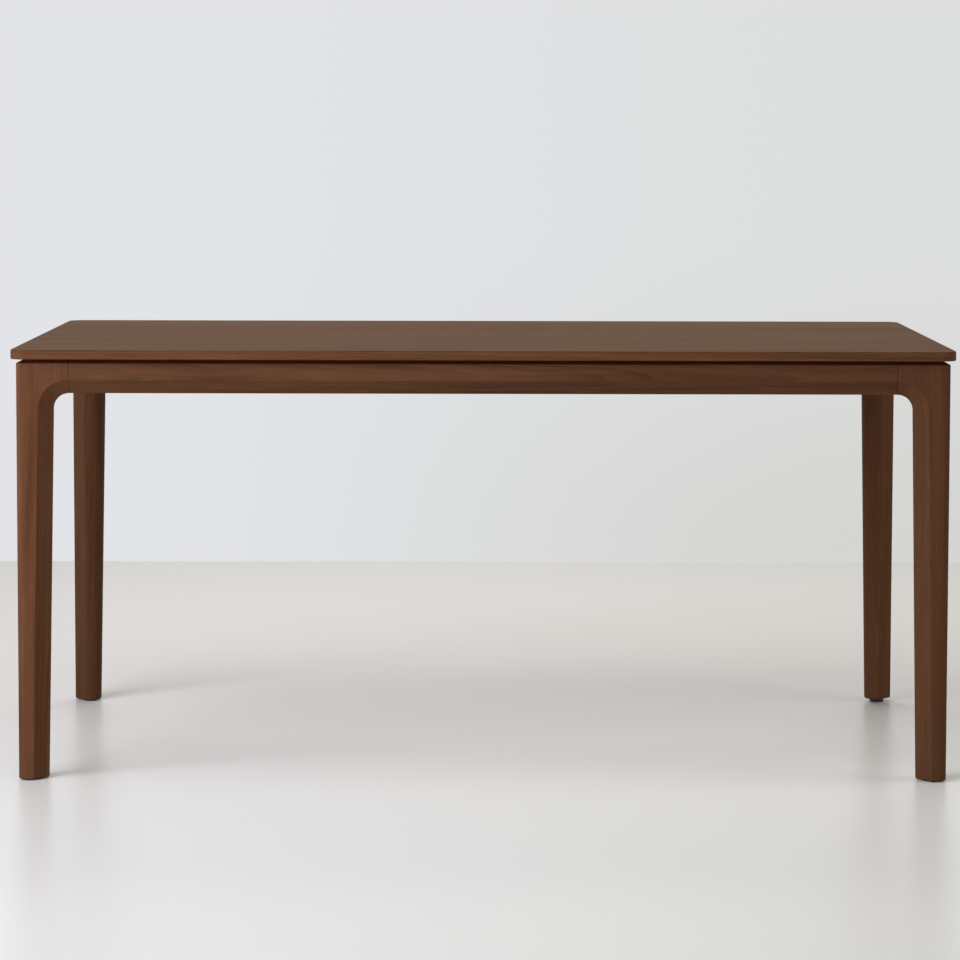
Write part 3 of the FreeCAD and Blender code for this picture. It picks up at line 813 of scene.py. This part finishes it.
bpy.ops.object.select_all(action="DESELECT")
bpy.ops.mesh.primitive_circle_add(vertices=washer_sides, radius=washer_radius, location=washer_middle)
washer = bpy.context.object
bpy.ops.object.transform_apply(location=True)
edit_mode(True)
bpy.ops.mesh.select_all(action="SELECT")
bpy.ops.mesh.extrude_edges_move()
hole_share = washer_hole_radius / washer_radius
bpy.ops.transform.resize(value=(hole_share, hole_share, 1), center_override=washer_middle)
tidy_mesh()
edit_mode(False)
apply_modifier(washer, "SOLIDIFY", thickness=washer_thickness, offset=0)
apply_modifier(washer, "BEVEL", width=washer_rim, segments=2, limit_method="ANGLE")
edit_mode(True)
tidy_mesh()
edit_mode(False)
smooth(washer)
washers = joined(placed_copies(washer, on_diagonals(block_face_on_diagonal)))
hand_over(washers, "pressed_washers", zinc, "frame", "hanger_washers")


# ---------------------------------------------------------------------------------------------
# The nuts. Zinc-plated hexagon nuts, with their corners turned off at both ends. Each winds down
# its hanger bolt on to a washer and draws the leg tight.

nut_across_flats = 0.013
nut_corner_radius = nut_across_flats / 2 / math.cos(math.radians(30))
nut_bore_radius = 0.00405
nut_face_radius = 0.0062
nut_chamfer = nut_corner_radius - nut_face_radius
nut_chamfer_drop = nut_chamfer * math.tan(math.radians(30))
nut_middle = (0, 0, nut_height / 2)
nut_turned_sides = 48
nut_bore_sides = 32
nut_inside_turned = 0.00001
nut_smooth_angle = 20

bpy.ops.object.select_all(action="DESELECT")
bpy.ops.mesh.primitive_cylinder_add(
    vertices=nut_turned_sides, radius=nut_corner_radius, depth=nut_height, location=nut_middle)
turned = bpy.context.object
bpy.ops.object.transform_apply(location=True)
edit_mode(True)
for face_height, inwards in ((0, 1), (nut_height, -1)):
    select_where(turned, "polygons", lambda place: abs(place.z - face_height) < level_tolerance)
    bpy.ops.mesh.inset(thickness=nut_chamfer)
    select_where(turned, "vertices", lambda place: (
        abs(place.z - face_height) < level_tolerance
        and place.xy.length > nut_corner_radius - level_tolerance))
    bpy.ops.transform.translate(value=(0, 0, inwards * nut_chamfer_drop))
edit_mode(False)
bpy.ops.mesh.primitive_cylinder_add(
    vertices=nut_bore_sides, radius=nut_bore_radius, depth=3 * nut_height)
bore = bpy.context.object
bpy.ops.mesh.primitive_cylinder_add(
    vertices=6, radius=nut_corner_radius - nut_inside_turned, depth=nut_height, location=nut_middle)
nut = bpy.context.object
bpy.ops.object.transform_apply(location=True)
apply_modifier(nut, "BOOLEAN", operation="INTERSECT", solver="EXACT", object=turned)
apply_modifier(nut, "BOOLEAN", operation="DIFFERENCE", solver="EXACT", object=bore)
bpy.data.objects.remove(turned)
bpy.data.objects.remove(bore)
edit_mode(True)
tidy_mesh()
edit_mode(False)
smooth(nut, nut_smooth_angle)
nuts = joined(placed_copies(nut, on_diagonals(block_face_on_diagonal + washer_thickness)))
hand_over(nuts, "hexagon_nuts", zinc, "frame", "hanger_nuts")


# ---------------------------------------------------------------------------------------------
# The corner blocks' screws. Zinc-plated wood screws with domed heads and a cross recess, two
# from each block into each rail, which hold the block until the bolt is drawn tight.

screw_head_radius = 0.004
screw_head_height = 0.0025
screw_head_dome = 0.0014
screw_shank_radius = 0.002
screw_point_length = 0.003
screw_point_share = 0.15
screw_sides = 32
screw_dome_segments = 4
recess_depth = 0.0016
recess_long = 0.0046
recess_short = 0.0009
recess_long_taper = 0.45
recess_short_taper = 0.8
block_screw_length = 0.028
block_screw_from_corner = 0.1153
block_screw_from_face = 0.042
block_screw_half_spacing = 0.008


def wood_screw(length):
    """A screw whose head bears on the origin's level and whose shank runs up."""
    bpy.ops.object.select_all(action="DESELECT")
    head_middle = (0, 0, -screw_head_height / 2)
    bpy.ops.mesh.primitive_cylinder_add(
        vertices=screw_sides, radius=screw_head_radius, depth=screw_head_height, location=head_middle)
    screw = bpy.context.object
    bpy.ops.object.transform_apply(location=True)
    edit_mode(True)
    select_where(screw, "edges", lambda place: place.z < -screw_head_height + level_tolerance)
    bpy.ops.mesh.bevel(offset=screw_head_dome, segments=screw_dome_segments, affect="EDGES")
    select_where(screw, "polygons", lambda place: place.z > -level_tolerance)
    bpy.ops.mesh.inset(thickness=screw_head_radius - screw_shank_radius)
    for rise in (length - screw_point_length, screw_point_length):
        bpy.ops.mesh.extrude_region_move(TRANSFORM_OT_translate={"value": (0, 0, rise)})
    point_scale = (screw_point_share, screw_point_share, 1)
    bpy.ops.transform.resize(value=point_scale, center_override=(0, 0, length))
    edit_mode(False)
    for size_x, size_y in ((recess_long, recess_short), (recess_short, recess_long)):
        bpy.ops.mesh.primitive_cube_add(size=1, location=(0, 0, -screw_head_height))
        punch = bpy.context.object
        punch.scale = (size_x, size_y, 2 * recess_depth)
        bpy.ops.object.transform_apply(location=True, scale=True)
        edit_mode(True)
        select_where(punch, "vertices", lambda place: place.z > -screw_head_height)
        tip_x = recess_long_taper if size_x > size_y else recess_short_taper
        tip_y = recess_long_taper if size_y > size_x else recess_short_taper
        bpy.ops.transform.resize(value=(tip_x, tip_y, 1), center_override=(0, 0, 0))
        edit_mode(False)
        bpy.ops.object.select_all(action="DESELECT")
        screw.select_set(True)
        bpy.context.view_layer.objects.active = screw
        apply_modifier(screw, "BOOLEAN", operation="DIFFERENCE", solver="EXACT", object=punch)
        bpy.data.objects.remove(punch)
    edit_mode(True)
    tidy_mesh()
    edit_mode(False)
    smooth(screw)
    return screw


block_screw_places = []
for sign_x, sign_y in corner_signs.values():
    far_x = sign_x * (frame_half_length - block_screw_from_corner)
    far_y = sign_y * (frame_half_width - block_screw_from_corner)
    near_x = sign_x * (frame_half_length - block_screw_from_face)
    near_y = sign_y * (frame_half_width - block_screw_from_face)
    for z in (bolt_height - block_screw_half_spacing, bolt_height + block_screw_half_spacing):
        block_screw_places.append(((far_x, near_y, z), (0, sign_y, 0)))
        block_screw_places.append(((near_x, far_y, z), (sign_x, 0, 0)))
block_screws = joined(placed_copies(wood_screw(block_screw_length), block_screw_places))
hand_over(block_screws, "corner_block_wood_screws", zinc, "frame", "corner_block_screws")


# ---------------------------------------------------------------------------------------------
# The bearers' screws. Longer ones of the same kind, three through each bearer, sunk deep from
# below and driven up into the top.

bearer_offset = 0.260
bearer_screw_seat = 0.695
bearer_screw_spacing = 0.250
bearer_screw_length = 0.034

bearer_screw_places = []
for x in (-bearer_offset, bearer_offset):
    for y in (-bearer_screw_spacing, 0, bearer_screw_spacing):
        bearer_screw_places.append(((x, y, bearer_screw_seat), (0, 0, 1)))
bearer_screws = joined(placed_copies(wood_screw(bearer_screw_length), bearer_screw_places))
hand_over(bearer_screws, "bearer_wood_screws", zinc, "frame", "bearer_screws")


# ---------------------------------------------------------------------------------------------
# The angle brackets. Zinc-plated strip, cropped with round corners and bent to a right angle,
# which ties the rails to the top: three on each long rail and two on each end rail.

bracket_leg = 0.028
bracket_width = 0.024
bracket_thickness = 0.002
bracket_bend = 0.003
bracket_corner = 0.004
bracket_edge = 0.0003
bracket_round_segments = 5
rail_thickness = 0.028
top_underside = 0.719
bracket_spacing_long = 0.500
bracket_half_spacing_short = 0.150


def along_rails(from_face, down):
    """The point at a distance from the rail's inner face and below the top, and the way away
    from the rail, at every bracket."""
    places = []
    for side in (-1, 1):
        y = side * (frame_half_width - rail_thickness - from_face)
        for x in (-bracket_spacing_long, 0, bracket_spacing_long):
            places.append(((x, y, top_underside - down), (0, -side, 0)))
        x = side * (frame_half_length - rail_thickness - from_face)
        for y in (-bracket_half_spacing_short, bracket_half_spacing_short):
            places.append(((x, y, top_underside - down), (-side, 0, 0)))
    return places


bpy.ops.object.select_all(action="DESELECT")
bpy.ops.mesh.primitive_plane_add(size=bracket_width, location=(0, -bracket_width / 2, 0))
bracket = bpy.context.object
bpy.ops.object.transform_apply(location=True)
edit_mode(True)
select_where(bracket, "vertices", lambda place: place.y < -bracket_width / 2)
bpy.ops.transform.translate(value=(0, bracket_width - bracket_leg, 0))
select_where(bracket, "edges", lambda place: place.y > -level_tolerance)
bpy.ops.mesh.extrude_edges_move(TRANSFORM_OT_translate={"value": (0, 0, bracket_leg)})
nearly_leg = bracket_leg - level_tolerance
select_where(bracket, "vertices", lambda place: place.y < -nearly_leg or place.z > nearly_leg)
bpy.ops.mesh.bevel(offset=bracket_corner, segments=bracket_round_segments, affect="VERTICES")
select_where(bracket, "edges", lambda place: (
    place.y > -level_tolerance and place.z < level_tolerance))
bpy.ops.mesh.bevel(offset=bracket_bend, segments=bracket_round_segments, affect="EDGES")
tidy_mesh()
edit_mode(False)
upright = min(bracket.data.polygons, key=lambda face: face.center.y)
inner_side = -1 if upright.normal.z < 0 else 1
apply_modifier(
    bracket, "SOLIDIFY", thickness=bracket_thickness, offset=inner_side, use_even_offset=True)
apply_modifier(bracket, "BEVEL", width=bracket_edge, segments=2, limit_method="ANGLE")
edit_mode(True)
tidy_mesh()
edit_mode(False)
smooth(bracket)
brackets = joined(placed_copies(bracket, along_rails(0, 0)))
hand_over(brackets, "bent_angle_brackets", zinc, "frame", "top_brackets")


# ---------------------------------------------------------------------------------------------
# The brackets' screws. Short ones of the same kind, one into the rail and one up into the top
# at each bracket.

bracket_screw_from_bend = 0.018
rail_screw_length = 0.012
top_screw_length = 0.012

rail_screw_places = []
for point, way in along_rails(bracket_thickness, bracket_screw_from_bend):
    rail_screw_places.append((point, tuple(-value for value in way)))
rail_screws = joined(placed_copies(wood_screw(rail_screw_length), rail_screw_places))
hand_over(rail_screws, "bracket_screws_in_rails", zinc, "frame", "bracket_rail_screws")

top_screw_places = []
for point, way in along_rails(bracket_screw_from_bend, bracket_thickness):
    top_screw_places.append((point, (0, 0, 1)))
top_screws = joined(placed_copies(wood_screw(top_screw_length), top_screw_places))
hand_over(top_screws, "bracket_screws_in_top", zinc, "frame", "bracket_top_screws")


# ---------------------------------------------------------------------------------------------
# The threaded inserts. Turned brass sleeves, driven into the foot of each leg. They take the
# levelling screws, whose thread would wear the wood.

brass_colour = (196, 164, 96)
brass_roughness = 0.36

dress("foot_inserts", bright_metal("turned_brass", brass_colour, brass_roughness))


# ---------------------------------------------------------------------------------------------
# The levelling screws. Zinc-plated rods with a rolled thread, which wind in and out of the
# inserts and carry the pads.

foot_axis_x = 0.7635
foot_axis_y = 0.3885
stem_low = 0.0015
stem_length = 0.036

foot_places = []
for sign_x, sign_y in corner_signs.values():
    foot_places.append(((sign_x * foot_axis_x, sign_y * foot_axis_y, stem_low), (0, 0, 1)))
stems = placed_copies(threaded_rod(bolt_diameter, stem_length), foot_places)
for corner, stem in zip(corner_signs, stems):
    name = "levelling_screw_" + corner
    hand_over(stem, name, zinc, "foot_screw_" + corner, "foot_stem_" + corner)


# ---------------------------------------------------------------------------------------------
# The levelling pads. Moulded black plastic discs with finger notches round the rim, a dished
# top and a socket for the levelling screw.

pad_radius = 0.013
pad_height = 0.005
pad_rim_width = 0.0018
pad_dish_depth = 0.0012
pad_boss_radius = 0.0068
pad_socket_radius = 0.00405
pad_edge_round = 0.0005
pad_edge_segments = 3
pad_edge_angle = 50
pad_smooth_angle = 40
pad_sides = 48
pad_sides_per_notch = 4
pad_side_tolerance = 0.0003
pad_side_lean = 0.1
pad_notch_border = 0.0004
pad_notch_scale = (0.955, 0.955, 0.8)
pad_black = (15, 15, 15)
pad_grey = (23, 23, 22)
pad_dust = (58, 54, 50)
pad_dust_share = 0.15
pad_grain_scale = 1400.0
pad_dust_scale = 160.0
pad_dust_detail = 4.0
pad_relief = 0.00005
pad_smoothest = 0.5
pad_roughest = 0.62

pad_plastic, tree, shader = new_material("pad_plastic")
place = new_node(tree, "ShaderNodeTexCoord").outputs["Object"]
grain = noise(tree, place, pad_grain_scale).outputs["Fac"]
dust = noise(tree, place, pad_dust_scale, pad_dust_detail).outputs["Fac"]
dust = remap(tree, dust, low=0.5, high=0.75, new_high=pad_dust_share)
shade = mixed(tree, grain, linear(*pad_black), linear(*pad_grey))
shade = mixed(tree, dust, shade, linear(*pad_dust))
tree.links.new(shade, shader.inputs["Base Color"])
dullness = remap(tree, grain, low=0.3, high=0.7, new_low=pad_smoothest, new_high=pad_roughest)
tree.links.new(dullness, shader.inputs["Roughness"])
bump = new_node(tree, "ShaderNodeBump", {"Height": grain, "Strength": 1.0, "Distance": pad_relief})
tree.links.new(bump.outputs[0], shader.inputs["Normal"])

bpy.ops.object.select_all(action="DESELECT")
bpy.ops.mesh.primitive_cylinder_add(
    vertices=pad_sides, radius=pad_radius, depth=pad_height, location=(0, 0, pad_height / 2))
pad = bpy.context.object
bpy.ops.object.transform_apply(location=True)
edit_mode(True)
select_where(pad, "polygons", lambda place: place.z > pad_height - level_tolerance)
for inwards, rise in (
        (pad_rim_width, -pad_dish_depth),
        (pad_radius - pad_rim_width - pad_boss_radius, pad_dish_depth),
        (pad_boss_radius - pad_socket_radius, stem_low - pad_height)):
    bpy.ops.mesh.inset(thickness=inwards)
    bpy.ops.mesh.extrude_region_move(TRANSFORM_OT_translate={"value": (0, 0, rise)})
bpy.ops.mesh.select_mode(type="FACE")
bpy.ops.mesh.select_all(action="DESELECT")
edit_mode(False)
for face in pad.data.polygons:
    side_number = math.atan2(face.center.y, face.center.x) / math.tau * pad_sides - 0.5
    outermost = face.center.xy.length > pad_radius - pad_side_tolerance
    on_rim = outermost and abs(face.normal.z) < pad_side_lean
    face.select = on_rim and round(side_number) % pad_sides_per_notch == 0
edit_mode(True)
bpy.ops.mesh.inset(thickness=pad_notch_border)
bpy.ops.transform.resize(value=pad_notch_scale, center_override=(0, 0, pad_height / 2))
tidy_mesh()
edit_mode(False)
apply_modifier(
    pad, "BEVEL", width=pad_edge_round, segments=pad_edge_segments,
    limit_method="ANGLE", angle_limit=math.radians(pad_edge_angle))
edit_mode(True)
tidy_mesh()
edit_mode(False)
smooth(pad, pad_smooth_angle)
pads = placed_copies(pad, [((x, y, 0), way) for (x, y, z), way in foot_places])
for corner, pad in zip(corner_signs, pads):
    body = "foot_pad_" + corner
    hand_over(pad, "moulded_pad_" + corner, pad_plastic, body, "foot_pad_" + corner)
